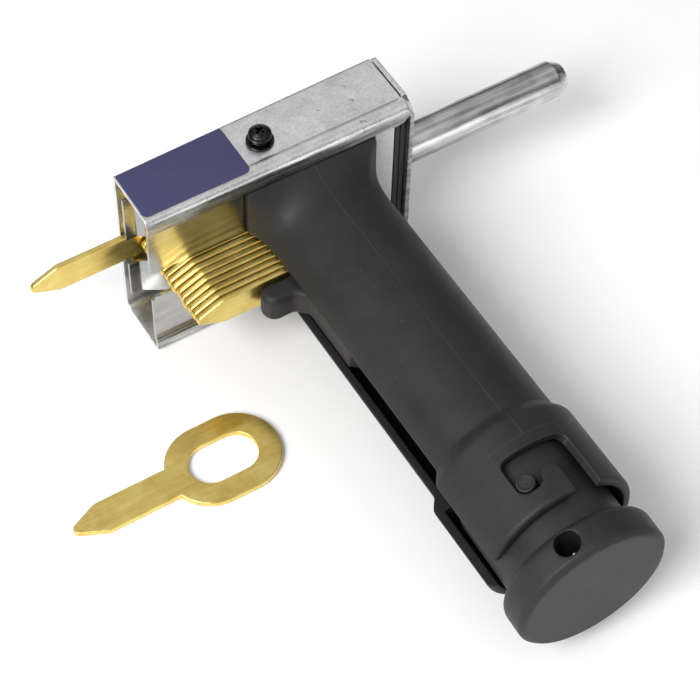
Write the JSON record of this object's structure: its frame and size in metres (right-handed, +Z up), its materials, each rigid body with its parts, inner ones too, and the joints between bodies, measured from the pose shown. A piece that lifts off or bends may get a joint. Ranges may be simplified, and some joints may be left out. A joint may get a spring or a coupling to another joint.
{
  "type": "magazine feeder for brass pull keys",
  "caption": "Hand-held feeder: steel feed housing on a round shank, with a slotted black tube handle full of flat brass ring keys and a sprung bayonet end cap.",
  "frame": {"origin": "middle of the whole set's box, on the surface it stands on", "axes": "+X from the housing's open mouth to the shank, -Y along the handle to the end cap, +Z up"},
  "size_m": [0.1694, 0.1414, 0.0552],
  "materials": {
    "zinc_sheet": "bright zinc, fine scratches",
    "guide_steel": "satin",
    "shank_steel": "ground along its length",
    "spring_steel": "drawn wire",
    "key_brass": "stamped, satin",
    "black_plastic": "moulded, fine texture",
    "black_rubber": "matt",
    "black_steel": "black zinc",
    "label_film": "plain printed film"
  },
  "bodies": {
    "feeder_frame": {"housing_channel": "zinc_sheet", "rear_plate": "zinc_sheet", "rear_pad_inner": "black_rubber", "rear_pad_outer": "black_rubber", "upper_guide_plate": "guide_steel", "lower_guide_plate": "guide_steel", "rear_guide_plate": "guide_steel", "upper_feed_guide": "guide_steel", "lower_feed_guide": "guide_steel", "top_label": "label_film", "flat_washer": "black_steel", "lock_washer": "black_steel", "top_screw": "black_steel", "hex_nut": "black_steel", "handle_grip": "black_plastic", "magazine_spring": "spring_steel", "stack_key_01": "key_brass", "stack_key_02": "key_brass", "stack_key_03": "key_brass", "stack_key_04": "key_brass", "stack_key_05": "key_brass", "stack_key_06": "key_brass", "stack_key_07": "key_brass", "stack_key_08": "key_brass", "stack_key_09": "key_brass", "stack_key_10": "key_brass", "stack_key_11": "key_brass", "stack_key_12": "key_brass", "stack_key_13": "key_brass", "stack_key_14": "key_brass", "stack_key_15": "key_brass"},
    "shank_carriage": {"shank": "shank_steel", "pusher": "shank_steel"},
    "front_key_body": {"front_key": "key_brass"},
    "follower_body": {"follower": "black_plastic"},
    "cap_body": {"end_cap": "black_plastic", "bayonet_pin": "black_plastic"},
    "loose_key_body": {"loose_key": "key_brass"}
  },
  "joints": [
    {"name": "shank_slide", "type": "slide", "parent": "feeder_frame", "child": "shank_carriage", "axis": [1, 0, 0], "range_m": [0, 0.0298]},
    {"name": "front_key_slide", "type": "slide", "parent": "feeder_frame", "child": "front_key_body", "axis": [-1, 0, 0], "range_m": [0, 0.035]},
    {"name": "follower_slide", "type": "slide", "parent": "feeder_frame", "child": "follower_body", "axis": [0, -1, 0], "range_m": [0, 0.0374], "stiffness_N_per_m": 60, "springref_m": -0.06, "deforming": ["magazine_spring"]},
    {"name": "cap_press", "type": "slide", "parent": "feeder_frame", "child": "cap_body", "axis": [0, 1, 0], "range_m": [0, 0.005], "stiffness_N_per_m": 400, "springref_m": -0.012, "deforming": ["magazine_spring"]},
    {"name": "loose_key_lift", "type": "slide", "parent": "feeder_frame", "child": "loose_key_body", "axis": [0, 0, 1], "range_m": [0, 0.05]}
  ]
}
